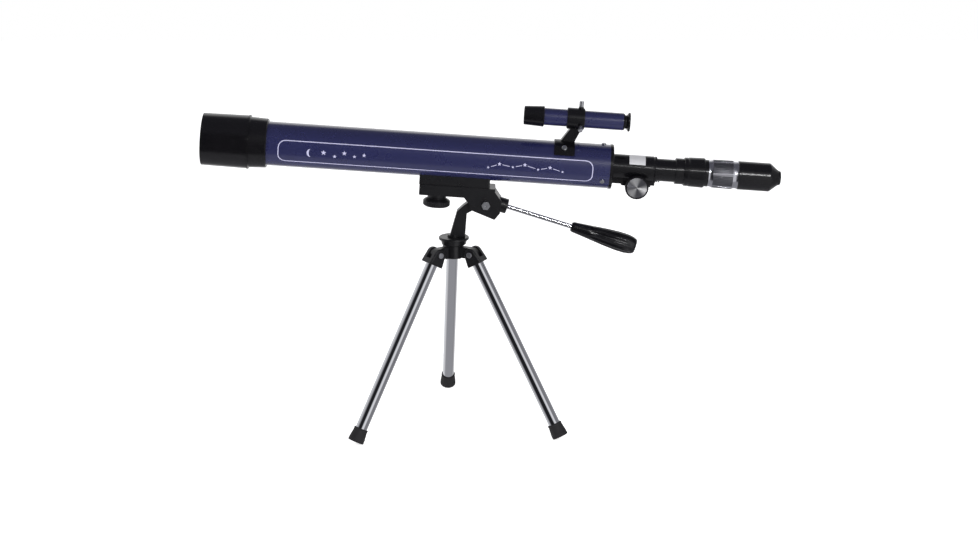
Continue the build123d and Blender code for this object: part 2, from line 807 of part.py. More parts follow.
def handle_grip():
    """Moulded grip, thin at the rod and fullest near its end, with finger flutes."""
    nose = GRIP_FRONT
    end = GRIP_REAR
    outline = Polyline((nose, 0), (nose, 5.4))
    outline += Spline((nose, 5.4), (nose + 3, 6.8), (nose + 30, 9.2), (nose + 62, 12.0), (end - 3, 10.6))
    outline += Polyline((end - 3, 10.6), (end, 8.4), (end, 0), (nose, 0))
    grip = revolve(make_face(outline), Axis.X)
    flutes = [
        Rot(36 * k, 0, 0) * Pos(nose + 57, 0, 13.4) * Rot(0, 90 + 1.5, 0) * Cylinder(2.5, 40)
        for k in range(10)
    ]
    return grip - flutes - bar_x(nose - 1, nose + 40, ROD_RADIUS)


# --- tripod head and hub, in the world's frame ---


def pivot_point():
    """The tilt axis in the world's frame."""
    return (ON_TUBE * Pos(PIVOT_STATION, 0, PIVOT_HEIGHT)).position


def neck():
    """Cast post that leans from the panning axis up to the tilt bolt."""
    pivot = pivot_point()
    arm = make_face(
        Polyline(
            (-5.6, PAN_RING_TOP + 0.3),
            (14.4, PAN_RING_TOP + 0.3),
            (16.8, 285.0),
            (24.0, pivot.Z - 9.0),
            (pivot.X, pivot.Z - 10.0),
            (pivot.X, pivot.Z + 10.0),
            (26.0, pivot.Z + 6.6),
            (13.4, pivot.Z - 2.0),
            (4.2, 288.0),
            close=True,
        )
    )
    arm += Pos(pivot.X, pivot.Z) * Circle(10.0)
    body = plate(arm, -NECK_HALF_WIDTH, NECK_HALF_WIDTH)
    body += bar_z(0, 0, SPIGOT_BOTTOM, PAN_RING_TOP + 3.0, NECK_SPIGOT_RADIUS)
    body -= bar_y(pivot.X, pivot.Z, -10, 10, BOLT_RADIUS + RUNNING_GAP)
    body -= bar_z(0, 0, SPIGOT_BOTTOM, SPIGOT_BOTTOM + 14, 2.6 + RUNNING_GAP)
    return body


def pan_lock_ring():
    """Knurled ring on top of the hub that clamps the neck's spigot."""
    profile = [
        (PAN_RING_BOTTOM, NECK_SPIGOT_RADIUS + 0.3),
        (PAN_RING_BOTTOM, 14.6),
        (PAN_RING_BOTTOM + 0.8, 15.6),
        (249.4, 16.8),
        (249.9, 18.9),
        (250.4, PAN_RING_RADIUS),
        (PAN_RING_TOP - 0.7, PAN_RING_RADIUS),
        (PAN_RING_TOP, PAN_RING_RADIUS - 0.7),
        (PAN_RING_TOP, NECK_SPIGOT_RADIUS + 0.3),
    ]
    return Rot(0, -90, 0) * turned(profile)


def hub():
    """Cast hub: round centre with three lugs for the leg brackets."""
    centre = bar_z(0, 0, HUB_BOTTOM, HUB_TOP, HUB_RADIUS)
    centre = fillet(centre.edges(), 1.0)
    lugs = []
    for angle in LEG_ANGLES:
        lug = block(0, PIN_REACH, -4.5, 4.5, PIN_HEIGHT - 7, PIN_HEIGHT + 7)
        lug += bar_y(PIN_REACH, PIN_HEIGHT, -4.5, 4.5, 7.0)
        lug -= bar_y(PIN_REACH, PIN_HEIGHT, -6, 6, PIN_RADIUS)
        lugs.append(Rot(0, 0, angle) * lug)
    body = centre + lugs
    body -= bar_z(0, 0, SPIGOT_BOTTOM - 0.3, HUB_TOP + 1, NECK_SPIGOT_RADIUS + RUNNING_GAP)
    body -= bar_z(0, 0, HUB_BOTTOM - 1, HUB_BOTTOM + 2.4, 5.2)
    return body - bar_z(0, 0, HUB_BOTTOM, SPIGOT_BOTTOM, 2.6)


def pan_bolt():
    """Bolt up through the hub on which the neck turns."""
    shank = bar_z(0, 0, HUB_BOTTOM + 2.3, SPIGOT_BOTTOM + 13, 2.6)
    head = extrude(RegularPolygon(4.6, 6), -2.6)
    return shank + Pos(0, 0, HUB_BOTTOM + 2.4) * head


def leg_pins():
    """Three riveted pivot pins through the brackets and the hub's lugs."""
    reach = BRACKET_HALF_WIDTH + 0.2
    pins = []
    for angle in LEG_ANGLES:
        pin = bar_y(0, 0, -reach - 0.1, reach + 0.1, PIN_RADIUS)
        for side in (-1, 1):
            head = fillet(bar_z(0, 0, reach, reach + 1.7, 3.8).edges().sort_by(Axis.Z)[-1], 1.1)
            pin += Rot(90 * side, 0, 0) * head
        pins.append(Rot(0, 0, angle) * Pos(PIN_REACH, 0, PIN_HEIGHT) * pin)
    return Part() + pins


# --- one leg, in its own frame: pivot pin along Y at the origin, leg down -Z ---


def leg_place(angle):
    """Frame of the leg at this angle round the hub, opened out."""
    return Rot(0, 0, angle) * Pos(PIN_REACH, 0, PIN_HEIGHT) * Rot(0, -LEG_SPLAY, 0)


def leg_bracket():
    """Forked moulding that straddles the lug and holds the leg tube."""
    end = -BRACKET_END
    skirt = Polyline((-10.2, end), (10.2, end), (10.2, end + 3), (-10.2, end + 3), close=True)
    outline = make_hull(Circle(8.2).edges() + skirt.edges())
    bracket = plate(outline, -BRACKET_HALF_WIDTH, BRACKET_HALF_WIDTH)
    sides = bracket.faces().filter_by(Axis.Y)
    rims = [e for f in sides for e in f.edges() if e.center().Z > end + 0.5]
    bracket = fillet(rims, 2.0)
    bracket -= block(-20, 20, -4.8, 4.8, -8.0, 20)
    bracket -= bar_y(0, 0, -20, 20, PIN_RADIUS + RUNNING_GAP)
    return bracket - bar_z(0, 0, end - 1, -LEG_TUBE_TOP, LEG_TUBE_RADIUS)


def leg_tube():
    """Chromed steel tube."""
    inner = LEG_TUBE_RADIUS - 1.0
    tube = bar_z(0, 0, -FOOT_BOTTOM + 4.5, -LEG_TUBE_TOP, LEG_TUBE_RADIUS)
    return tube - bar_z(0, 0, -FOOT_BOTTOM, 0, inner)


def leg_foot():
    """Flared rubber cap with a rounded lip over the tube's end."""
    profile = [
        (-FOOT_BOTTOM, 0),
        (-FOOT_BOTTOM, 9.9),
        (-FOOT_BOTTOM + 0.5, 10.4),
        (-FOOT_BOTTOM + 5.0, 10.3),
        (-FOOT_TOP - 2.5, 8.9),
        (-FOOT_TOP - 1.9, 9.3),
        (-FOOT_TOP - 0.7, 9.3),
        (-FOOT_TOP, 8.6),
        (-FOOT_TOP, LEG_TUBE_RADIUS),
        (-FOOT_BOTTOM + 4.5, LEG_TUBE_RADIUS),
        (-FOOT_BOTTOM + 4.5, 0),
    ]
    return Rot(0, -90, 0) * turned(profile)


def ground_cut(foot):
    """A placed foot, worn flat where it meets the ground."""
    return foot - Pos(0, 0, -10) * Box(600, 600, 20)


# --- the whole object ---


def all_nodes():
    """Every piece in the world's frame, by node name, before the origin is moved."""
    nodes = {
        "main_tube": ON_TUBE * main_tube(),
        "dew_shield": ON_TUBE * dew_shield(),
        "objective_cell": ON_TUBE * objective_cell(),
        "objective_crown_lens": ON_TUBE * lens(-41.2, -36.8, LENS_RADIUS, 1.4, 1.2),
        "objective_flint_lens": ON_TUBE * lens(-34.6, -31.0, LENS_RADIUS, -1.3, -0.4),
        "objective_retainer": ON_TUBE * objective_retainer(),
        "tube_baffles": ON_TUBE * tube_baffles(),
        "tube_screws": ON_TUBE * tube_screws(),
        "focuser_body": ON_TUBE * focuser_body(),
        "foil_label": ON_TUBE * foil_label(),
        "drawtube": ON_TUBE * drawtube(),
        "focus_rack": ON_TUBE * focus_rack(),
        "focus_pinion": ON_TUBE * focus_pinion(),
        "focus_knob_near": ON_TUBE * focus_knob_near(),
        "focus_knob_far": ON_TUBE * focus_knob_far(),
        "focus_knob_discs": ON_TUBE * focus_knob_discs(),
        "pinion_cover": ON_TUBE * pinion_cover(),
        "pinion_cover_screws": ON_TUBE * pinion_cover_screws(),
        "drawtube_collar": ON_TUBE * drawtube_collar(),
        "eyepiece_sleeve": ON_TUBE * eyepiece_sleeve(),
        "eyepiece_body": ON_TUBE * eyepiece_body(),
        "eyepiece_field_lens": ON_TUBE * lens(529.5, 532.0, 12.3, 0.8, 1.2),
        "zoom_ring": ON_TUBE * zoom_ring(),
        "zoom_carrier": ON_TUBE * zoom_carrier(),
        "zoom_lens": ON_TUBE * lens(566.0, 569.0, 9.0, 1.0, 1.0),
        "eyepiece_end": ON_TUBE * eyepiece_end(),
        "eyepiece_eye_lens": ON_TUBE * lens(634.4, 637.0, 7.0, 0.8, 0.8),
        "finder_tube": ON_FINDER * finder_tube(),
        "finder_hood": ON_FINDER * finder_hood(),
        "finder_objective": ON_FINDER * lens(320.0, 322.0, 10.1, 0.9, 0.7),
        "finder_eyecup": ON_FINDER * finder_eyecup(),
        "finder_eye_lens": ON_FINDER * lens(436.4, 438.4, 6.2, 0.7, 0.7),
        "finder_bracket": ON_TUBE * finder_bracket(),
        "shoe_screws": ON_TUBE * shoe_screws(),
        "tube_saddle": ON_TUBE * tube_saddle(),
        "saddle_screws": ON_TUBE * saddle_screws(),
        "tilt_block": ON_TUBE * tilt_block(),
        "camera_screw": ON_TUBE * camera_screw(),
        "camera_screw_knob": ON_TUBE * camera_screw_knob(),
        "tilt_bolt": ON_TUBE * tilt_bolt(),
        "tilt_lock_knob": ON_TUBE * tilt_lock_knob(),
        "handle_rod": ON_HANDLE * handle_rod(),
        "handle_grip": ON_HANDLE * handle_grip(),
        "neck": neck(),
        "pan_lock_ring": pan_lock_ring(),
        "hub": hub(),
        "pan_bolt": pan_bolt(),
        "leg_pins": leg_pins(),
    }
    for name, angle in THUMBSCREW_ANGLES.items():
        nodes[f"finder_thumbscrew_{name}"] = ON_FINDER * finder_thumbscrew(angle)
    for number, angle in enumerate(LEG_ANGLES, start=1):
        place = leg_place(angle)
        nodes[f"leg_bracket_{number}"] = place * leg_bracket()
        nodes[f"leg_tube_{number}"] = place * leg_tube()
        nodes[f"leg_foot_{number}"] = ground_cut(place * leg_foot())
    return nodes


def origin_shift(nodes):
    """How far the object moves so that its box is centred on X = Y = 0."""
    boxes = [shape.bounding_box() for shape in nodes.values()]
    low_x = min(box.min.X for box in boxes)
    high_x = max(box.max.X for box in boxes)
    low_y = min(box.min.Y for box in boxes)
    high_y = max(box.max.Y for box in boxes)
    return Vector(-(low_x + high_x) / 2, -(low_y + high_y) / 2, 0)


NODES = all_nodes()
SHIFT = origin_shift(NODES)

os.makedirs("parts", exist_ok=True)
for node, shape in NODES.items():
    export_step(Pos(SHIFT) * shape, f"parts/{node}.step")
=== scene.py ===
import bpy
import json
import math
from mathutils import Matrix, Vector


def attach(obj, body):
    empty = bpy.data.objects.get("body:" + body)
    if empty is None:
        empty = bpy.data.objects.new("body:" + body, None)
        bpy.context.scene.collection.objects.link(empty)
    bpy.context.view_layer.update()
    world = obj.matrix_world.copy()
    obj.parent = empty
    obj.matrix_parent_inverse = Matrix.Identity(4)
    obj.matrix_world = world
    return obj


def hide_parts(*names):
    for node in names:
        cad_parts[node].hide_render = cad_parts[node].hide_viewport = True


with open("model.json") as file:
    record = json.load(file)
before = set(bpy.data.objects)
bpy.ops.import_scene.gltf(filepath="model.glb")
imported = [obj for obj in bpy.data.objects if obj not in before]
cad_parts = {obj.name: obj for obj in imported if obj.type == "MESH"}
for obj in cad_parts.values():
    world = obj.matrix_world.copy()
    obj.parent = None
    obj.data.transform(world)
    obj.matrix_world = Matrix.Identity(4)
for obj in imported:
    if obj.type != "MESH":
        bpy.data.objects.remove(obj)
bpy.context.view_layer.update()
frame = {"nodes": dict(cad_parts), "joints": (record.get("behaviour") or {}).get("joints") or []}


# Camera: level with the horizon and looking down a little, on a long lens, so that the
# telescope's axis lies nearly parallel to the picture.
CAMERA_PLACE = (-0.00303, -2.72488, 0.95669)
CAMERA_PITCH = 15.663
SENSOR_WIDTH = 36.0
FOCAL_LENGTH = 79.66

camera_data = bpy.data.cameras.new("camera")
camera_data.sensor_width = SENSOR_WIDTH
camera_data.lens = FOCAL_LENGTH
camera = bpy.data.objects.new("camera", camera_data)
camera.location = CAMERA_PLACE
camera.rotation_euler = (math.radians(90 - CAMERA_PITCH), 0, 0)
bpy.context.scene.collection.objects.link(camera)
bpy.context.scene.camera = camera


# Floor: a plain sheet of painted board, large enough to fill every view. Its matt paint is
# rolled on, so it is white and even with a faint stipple, and it glows a little so that the
# lights leave no grey on it.
MM = 0.001
FLOOR_SIZE = 6.0
FLOOR_GLOW = 0.7
# Size of the broad patches in every finish's roughness, which handling and uneven coats leave.
HANDLING_MM = 18.0


def linear(code):
    """A colour written as sRGB hex, as Blender's linear RGBA."""
    values = [int(code[i : i + 2], 16) / 255 for i in (1, 3, 5)]
    curve = [v / 12.92 if v <= 0.04045 else ((v + 0.055) / 1.055) ** 2.4 for v in values]
    return (*curve, 1.0)


def add(tree, kind, settings=None, **links):
    """Adds a node. Settings are attributes or socket values; links name a socket's source."""
    node = tree.nodes.new(kind)
    for key, value in (settings or {}).items():
        if key in node.inputs:
            node.inputs[key].default_value = value
        elif key.isdigit():
            node.inputs[int(key)].default_value = value
        else:
            setattr(node, key, value)
    for key, source in links.items():
        socket = node.inputs[int(key[1:])] if key[0] == "i" and key[1:].isdigit() else None
        socket = socket or node.inputs[key.replace("_", " ")]
        tree.links.new(source, socket)
    return node


def surface(name, colour, metallic=0.0, roughness=0.4, **sockets):
    """A new material with one Principled shader; returns the material, its tree and shader."""
    material = bpy.data.materials.new(name)
    material.use_nodes = True
    tree = material.node_tree
    tree.nodes.clear()
    settings = {"Base Color": linear(colour), "Metallic": metallic, "Roughness": roughness}
    settings.update({key.replace("_", " "): value for key, value in sockets.items()})
    shader = add(tree, "ShaderNodeBsdfPrincipled", settings)
    add(tree, "ShaderNodeOutputMaterial", Surface=shader.outputs["BSDF"])
    return material, tree, shader


def grain(tree, shader, size_mm, bump_mm, low, high, edge_mm=0.0):
    """Gives a shader fine bumps of a real size and roughness that wanders between two values.

    With edge_mm, sharp edges also catch the light as if rounded to that radius."""
    place = add(tree, "ShaderNodeTexCoord").outputs["Object"]
    fine = add(
        tree,
        "ShaderNodeTexNoise",
        {"Scale": 1 / (size_mm * MM), "Detail": 3.0, "Roughness": 0.6},
        Vector=place,
    )
    bump = add(
        tree,
        "ShaderNodeBump",
        {"Strength": 1.0, "Distance": bump_mm * MM},
        Height=fine.outputs["Fac"],
    )
    if edge_mm:
        edge = add(tree, "ShaderNodeBevel", {"samples": 6, "Radius": edge_mm * MM})
        tree.links.new(edge.outputs["Normal"], bump.inputs["Normal"])
    tree.links.new(bump.outputs["Normal"], shader.inputs["Normal"])
    broad = add(
        tree,
        "ShaderNodeTexNoise",
        {"Scale": 1 / (HANDLING_MM * MM), "Detail": 4.0},
        Vector=place,
    )
    wander = add(
        tree,
        "ShaderNodeMapRange",
        {"From Min": 0.3, "From Max": 0.7, "To Min": low, "To Max": high},
        Value=broad.outputs["Fac"],
    )
    tree.links.new(wander.outputs["Result"], shader.inputs["Roughness"])
    return fine.outputs["Fac"]


white_board, tree, shader = surface("painted_board", "#FFFFFF", roughness=0.8)
shader.inputs["Emission Color"].default_value = linear("#FFFFFF")
shader.inputs["Emission Strength"].default_value = FLOOR_GLOW
grain(tree, shader, 6.0, 0.02, 0.74, 0.86)
bpy.ops.object.select_all(action="DESELECT")
bpy.ops.mesh.primitive_plane_add(size=FLOOR_SIZE)
floor = bpy.context.object
floor.name = "floor"
floor.data.materials.append(white_board)
floor.visible_glossy = False


# Studio: soft lights on all sides for even light, and a room hung with white, grey and black
# cloths whose stripes are what the chrome and the gloss paint mirror. Each cloth stands at an
# angle in degrees, with 0 towards the camera and more to its right.
LIGHT_AIM = Vector((0, 0, 0.3))
CLOTHS = (
    (-180, "#FFFFFF"),
    (-90, "#C0C0C4"),
    (-50, "#202023"),
    (0, "#202023"),
    (15, "#E0E0E3"),
    (40, "#E0E0E3"),
    (50, "#808084"),
    (110, "#808084"),
    (180, "#FFFFFF"),
)
CEILING = "#5E5E66"
TABLE_TOP = "#98989C"


def area_light(name, place, width, height, power):
    """A rectangular soft light that faces the head of the tripod and isn't seen in gloss."""
    data = bpy.data.lights.new(name, "AREA")
    data.shape = "RECTANGLE"
    data.size = width
    data.size_y = height
    data.energy = power
    light = bpy.data.objects.new(name, data)
    light.location = place
    aim = LIGHT_AIM - Vector(place)
    light.rotation_euler = aim.to_track_quat("-Z", "Y").to_euler()
    light.visible_glossy = False
    bpy.context.scene.collection.objects.link(light)
    return light


area_light("key_light", (0.7, -2.4, 1.5), 2.2, 1.4, 46)
area_light("fill_light", (-1.8, -1.8, 1.2), 1.4, 1.4, 20)
area_light("back_light", (0.0, 2.2, 2.0), 3.0, 1.2, 14)
strip = area_light("eye_end_strip", (0.78, -2.0, 1.3), 0.5, 0.08, 6.0)
strip.visible_glossy = True

world = bpy.data.worlds.new("studio")
world.use_nodes = True
tree = world.node_tree
tree.nodes.clear()
aim = add(tree, "ShaderNodeTexCoord").outputs["Generated"]
parts = add(tree, "ShaderNodeSeparateXYZ", Vector=aim)
toward = add(tree, "ShaderNodeMath", {"operation": "MULTIPLY", "1": -1.0}, i0=parts.outputs["Y"])
turn = add(
    tree,
    "ShaderNodeMath",
    {"operation": "ARCTAN2"},
    i0=parts.outputs["X"],
    i1=toward.outputs["Value"],
)
turn = add(
    tree,
    "ShaderNodeMapRange",
    {"From Min": -math.pi, "From Max": math.pi},
    Value=turn.outputs["Value"],
)
cloths = add(tree, "ShaderNodeValToRGB", Fac=turn.outputs["Result"])
ramp = cloths.color_ramp.elements
while len(ramp) < len(CLOTHS):
    ramp.new(0.5)
for stop, (degrees, colour) in zip(ramp, CLOTHS):
    stop.position = degrees / 360 + 0.5
    stop.color = linear(colour)
up = add(
    tree,
    "ShaderNodeMapRange",
    {"interpolation_type": "SMOOTHSTEP", "From Min": 0.5, "From Max": 0.8},
    Value=parts.outputs["Z"],
)
down = add(
    tree,
    "ShaderNodeMapRange",
    {"interpolation_type": "SMOOTHSTEP", "From Min": -0.62, "From Max": -0.8},
    Value=parts.outputs["Z"],
)
ceiling = add(
    tree,
    "ShaderNodeMix",
    {"data_type": "RGBA", "7": linear(CEILING)},
    Factor=up.outputs["Result"],
    i6=cloths.outputs["Color"],
)
table = add(
    tree,
    "ShaderNodeMix",
    {"data_type": "RGBA", "7": linear(TABLE_TOP)},
    Factor=down.outputs["Result"],
    i6=ceiling.outputs[2],
)
rays = add(tree, "ShaderNodeLightPath")
room = add(tree, "ShaderNodeBackground", {"Strength": 1.0}, Color=table.outputs[2])
backdrop = add(tree, "ShaderNodeBackground", {"Color": linear("#FFFFFF"), "Strength": 1.0})
seen = add(
    tree,
    "ShaderNodeMixShader",
    Fac=rays.outputs["Is Camera Ray"],
    i1=room.outputs["Background"],
    i2=backdrop.outputs["Background"],
)
add(tree, "ShaderNodeOutputWorld", Surface=seen.outputs["Shader"])
bpy.context.scene.world = world
bpy.context.scene.view_settings.view_transform = "Standard"


# Optical tube: drawn aluminium, sprayed deep violet blue and clear-lacquered. The spray
# leaves a faint orange peel under a hard gloss.
nodes = frame["nodes"]


def two_tone(tree, shader, factor, first, second):
    """Varies a shader's colour between two close tones."""
    mix = add(
        tree,
        "ShaderNodeMix",
        {"data_type": "RGBA", "6": linear(first), "7": linear(second)},
        Factor=factor,
    )
    tree.links.new(mix.outputs[2], shader.inputs["Base Color"])


def dress(material, *names):
    """Gives CAD pieces their finish."""
    for name in names:
        mesh = nodes[name].data
        mesh.materials.clear()
        mesh.materials.append(material)


blue_lacquer, tree, shader = surface(
    "sprayed_lacquer_on_aluminium",
    "#1E2045",
    roughness=0.3,
    Coat_Weight=1.0,
    Coat_Roughness=0.08,
    IOR=1.5,
)
tone = grain(tree, shader, 1.2, 0.0015, 0.26, 0.3)
two_tone(tree, shader, tone, "#1C1E41", "#212349")
dress(blue_lacquer, "main_tube", "finder_tube")


# Print on the tube: a thin pale frame with rounded corners, a crescent moon with stars at its
# front and a line of joined stars at its rear. It is pad-printed ink, a pale film duller than
# the paint, modelled flat in millimetres and then laid round the tube.
joints = {joint["name"]: joint for joint in frame["joints"]}
ZOOM_STATION = 569.0
PRINT_RADIUS = 28.02
PRINT_LIFT = 0.05
INK_THICKNESS = 0.04
FRAME_START = 4.0
FRAME_LENGTH = 398.5
FRAME_TOP = 24.2
FRAME_BOTTOM = -35.3
FRAME_CORNER = 10.0
FRAME_LINE = 1.15
FRAME_HEIGHT = math.radians(FRAME_TOP - FRAME_BOTTOM) * PRINT_RADIUS
CUT_SPACING = 0.9
STAR_WAIST = 0.42
MOON_STATION = 46.0
MOON_RADIUS = 5.4
# Each star: its distance along the tube, its height above the frame's middle, and its size.
SMALL_STARS = ((62, 1.5, 3.6), (76, -2.5, 2.6), (88, 2.5, 3.2), (101, -1.0, 2.4), (113, 1.5, 2.8))
# The joined stars: distance along the tube and height above the frame's middle.
TRAIL = ((270, -3.0), (284, 2.5), (301, -0.5), (316, 3.5), (333, -1.5), (348, 2.0), (364, -2.5))
TRAIL_STARS = (2.0, 2.8)
TRAIL_GAP = 3.8
TRAIL_LINE = 0.8
MIDDLE = math.radians((FRAME_TOP + FRAME_BOTTOM) / 2) * PRINT_RADIUS


def tube_place():
    """The main tube's own axes: X to the eye end, Y across, Z up, from its datum."""
    along = Vector(joints["zoom_turn"]["axis"])
    across = Vector((0, 1, 0))
    start = Vector(joints["zoom_turn"]["pos_m"]) - along * ZOOM_STATION * MM
    turned = Matrix((along, across, along.cross(across))).transposed().to_4x4()
    return Matrix.Translation(start) @ turned


def start_piece(name):
    """Names the new primitive, leaves its turn and scale in its mesh and opens it."""
    piece = bpy.context.object
    piece.name = name
    bpy.ops.object.transform_apply(location=True, rotation=True, scale=True)
    bpy.ops.object.mode_set(mode="EDIT")
    bpy.ops.mesh.select_all(action="SELECT")
    return piece


def cut_levels(axis, levels):
    """Cuts the open mesh straight through at each level along an axis."""
    for level in levels:
        bpy.ops.mesh.select_all(action="SELECT")
        point = [level if k == axis else 0 for k in range(3)]
        normal = [1 if k == axis else 0 for k in range(3)]
        bpy.ops.mesh.bisect(plane_co=point, plane_no=normal)


def star(x, y, size):
    """A flat five-pointed star."""
    bpy.ops.object.select_all(action="DESELECT")
    bpy.ops.mesh.primitive_circle_add(
        vertices=10, radius=size, fill_type="NGON", location=(x, y, 0)
    )
    piece = start_piece("star")
    bpy.ops.mesh.select_all(action="DESELECT")
    bpy.ops.object.mode_set(mode="OBJECT")
    for k, vertex in enumerate(piece.data.vertices):
        vertex.select = k % 2 == 1
    bpy.ops.object.mode_set(mode="EDIT")
    bpy.ops.mesh.select_mode(type="VERT")
    bpy.ops.transform.resize(value=(STAR_WAIST, STAR_WAIST, 1), center_override=(x, y, 0))
    bpy.ops.object.mode_set(mode="OBJECT")
    return piece


def thin_line(start, end, width):
    """A flat bar between two points."""
    run = Vector(end) - Vector(start)
    middle = (Vector(end) + Vector(start)) / 2
    bpy.ops.object.select_all(action="DESELECT")
    bpy.ops.mesh.primitive_plane_add(
        size=1, location=(middle.x, middle.y, 0), rotation=(0, 0, math.atan2(run.y, run.x))
    )
    bpy.context.object.scale = (run.length, width, 1)
    piece = start_piece("line")
    bpy.ops.object.mode_set(mode="OBJECT")
    return piece


bpy.ops.object.select_all(action="DESELECT")
bpy.ops.mesh.primitive_plane_add(size=1, location=(FRAME_START + FRAME_LENGTH / 2, MIDDLE, 0))
bpy.context.object.scale = (FRAME_LENGTH, FRAME_HEIGHT, 1)
tube_print = start_piece("tube_print")
bpy.ops.mesh.bevel(offset=FRAME_CORNER, segments=10, profile=0.5, affect="VERTICES")
bpy.ops.mesh.select_all(action="SELECT")
bpy.ops.mesh.inset(thickness=FRAME_LINE)
bpy.ops.mesh.delete(type="FACE")
bpy.ops.object.mode_set(mode="OBJECT")

bpy.ops.object.select_all(action="DESELECT")
bpy.ops.mesh.primitive_circle_add(
    vertices=48, radius=MOON_RADIUS, fill_type="NGON", location=(MOON_STATION, MIDDLE, 0)
)
moon = start_piece("moon")
bpy.ops.mesh.select_all(action="DESELECT")
bpy.ops.object.mode_set(mode="OBJECT")
for vertex in moon.data.vertices:
    vertex.select = vertex.co.x > MOON_STATION + 0.01
bpy.ops.object.mode_set(mode="EDIT")
bpy.ops.transform.resize(value=(-0.5, 1, 1), center_override=(MOON_STATION, MIDDLE, 0))
bpy.ops.object.mode_set(mode="OBJECT")

marks = [moon]
for x, rise, size in SMALL_STARS:
    marks.append(star(x, MIDDLE + rise, size))
for k, (x, rise) in enumerate(TRAIL):
    marks.append(star(x, MIDDLE + rise, TRAIL_STARS[k % 2]))
for (x, rise), (next_x, next_rise) in zip(TRAIL, TRAIL[1:]):
    step = Vector((next_x - x, next_rise - rise)).normalized() * TRAIL_GAP
    first = (x + step.x, MIDDLE + rise + step.y)
    last = (next_x - step.x, MIDDLE + next_rise - step.y)
    marks.append(thin_line(first, last, TRAIL_LINE))
bpy.ops.object.select_all(action="DESELECT")
for mark in marks:
    mark.select_set(True)
tube_print.select_set(True)
bpy.context.view_layer.objects.active = tube_print
bpy.ops.object.join()
bpy.ops.object.mode_set(mode="EDIT")
cuts = range(1, int(FRAME_HEIGHT / CUT_SPACING) + 1)
cut_levels(1, [MIDDLE - FRAME_HEIGHT / 2 + CUT_SPACING * k for k in cuts])
bpy.ops.object.mode_set(mode="OBJECT")
reach = PRINT_RADIUS + PRINT_LIFT
for vertex in tube_print.data.vertices:
    lean = vertex.co.y / PRINT_RADIUS
    vertex.co = (vertex.co.x, -reach * math.cos(lean), reach * math.sin(lean))
tube_print.data.transform(tube_place() @ Matrix.Scale(MM, 4))
bpy.ops.object.select_all(action="DESELECT")
tube_print.select_set(True)
thick = tube_print.modifiers.new("ink", "SOLIDIFY")
thick.thickness = INK_THICKNESS * MM
thick.offset = 1.0
bpy.ops.object.modifier_apply(modifier="ink")
tube_ink, tree, shader = surface("pad_printed_ink", "#A9A8C4", roughness=0.4, IOR=1.5)
tone = grain(tree, shader, 0.8, 0.004, 0.36, 0.46)
two_tone(tree, shader, tone, "#A3A2BE", "#AFAECA")
tube_print.data.materials.clear()
tube_print.data.materials.append(tube_ink)
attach(tube_print, "tilt_head")


# Gloss black mouldings: dew shield, cell, focuser, eyepiece and finder fittings are ABS
# from polished moulds, so they are smooth with a trace of flow marks.
gloss_abs, tree, shader = surface("moulded_gloss_abs", "#0B0B0D", roughness=0.2, IOR=1.53)
tone = grain(tree, shader, 0.7, 0.003, 0.15, 0.2, edge_mm=0.35)
two_tone(tree, shader, tone, "#0A0A0C", "#0E0D10")
dress(
    gloss_abs,
    "dew_shield",
    "objective_cell",
    "focuser_body",
    "drawtube",
    "drawtube_collar",
    "eyepiece_body",
    "eyepiece_end",
    "finder_hood",
    "finder_eyecup",
    "finder_bracket",
    "pinion_cover",
    "focus_knob_near",
    "focus_knob_far",
)


# Satin black castings and mouldings of the tripod head: powder-coated zinc and
# glass-filled nylon, with a fine pebbled skin.
satin_nylon, tree, shader = surface("moulded_satin_nylon", "#101012", roughness=0.34, IOR=1.5)
tone = grain(tree, shader, 0.45, 0.012, 0.26, 0.34, edge_mm=0.6)
two_tone(tree, shader, tone, "#0E0E10", "#141416")
dress(
    satin_nylon,
    "tube_saddle",
    "tilt_block",
    "neck",
    "pan_lock_ring",
    "hub",
    "leg_bracket_1",
    "leg_bracket_2",
    "leg_bracket_3",
    "camera_screw_knob",
    "tilt_lock_knob",
    "handle_grip",
)


# Bright chrome plating on drawn steel: legs, handle rod and screws. Plating hides nearly
# all of the drawing lines and leaves a mirror with slight waves.
chrome, tree, shader = surface("chrome_plated_steel", "#E8E9EC", metallic=1.0, roughness=0.04)
grain(tree, shader, 3.0, 0.0012, 0.03, 0.05)
dress(
    chrome,
    "leg_tube_1",
    "leg_tube_2",
    "leg_tube_3",
    "handle_rod",
    "eyepiece_sleeve",
    "finder_thumbscrew_top",
    "finder_thumbscrew_near",
    "finder_thumbscrew_far",
)


# Turned aluminium: the discs in the focus knobs were faced on a lathe, so their fine rings
# stretch every highlight into a fan from the middle. The rings are drawn coarser than real
# ones, and part of the fan is painted highlight: three fixed pale sectors in the colour.
PAINTED_FAN_COUNT = 3.0
PAINTED_FAN_TURN = 0.9
RING_SCALE = 320.0
turned_face, tree, shader = surface(
    "faced_aluminium", "#E0E0E4", metallic=1.0, roughness=0.42, Anisotropic=0.93
)
place = add(tree, "ShaderNodeTexCoord").outputs["Object"]
arm = add(
    tree,
    "ShaderNodeVectorMath",
    {"operation": "SUBTRACT", "1": Vector(joints["focus_knob_turn"]["pos_m"])},
    i0=place,
)
ring = add(
    tree,
    "ShaderNodeVectorMath",
    {"operation": "CROSS_PRODUCT", "1": (0.0, 1.0, 0.0)},
    i0=arm.outputs["Vector"],
)
tree.links.new(ring.outputs["Vector"], shader.inputs["Tangent"])
rings = add(
    tree,
    "ShaderNodeTexWave",
    {
        "wave_type": "RINGS",
        "rings_direction": "Y",
        "Scale": RING_SCALE,
        "Distortion": 0.3,
    },
    Vector=arm.outputs["Vector"],
)
groove = add(
    tree,
    "ShaderNodeBump",
    {"Strength": 0.5, "Distance": 0.002 * MM},
    Height=rings.outputs["Fac"],
)
tree.links.new(groove.outputs["Normal"], shader.inputs["Normal"])
spokes = add(tree, "ShaderNodeSeparateXYZ", Vector=arm.outputs["Vector"])
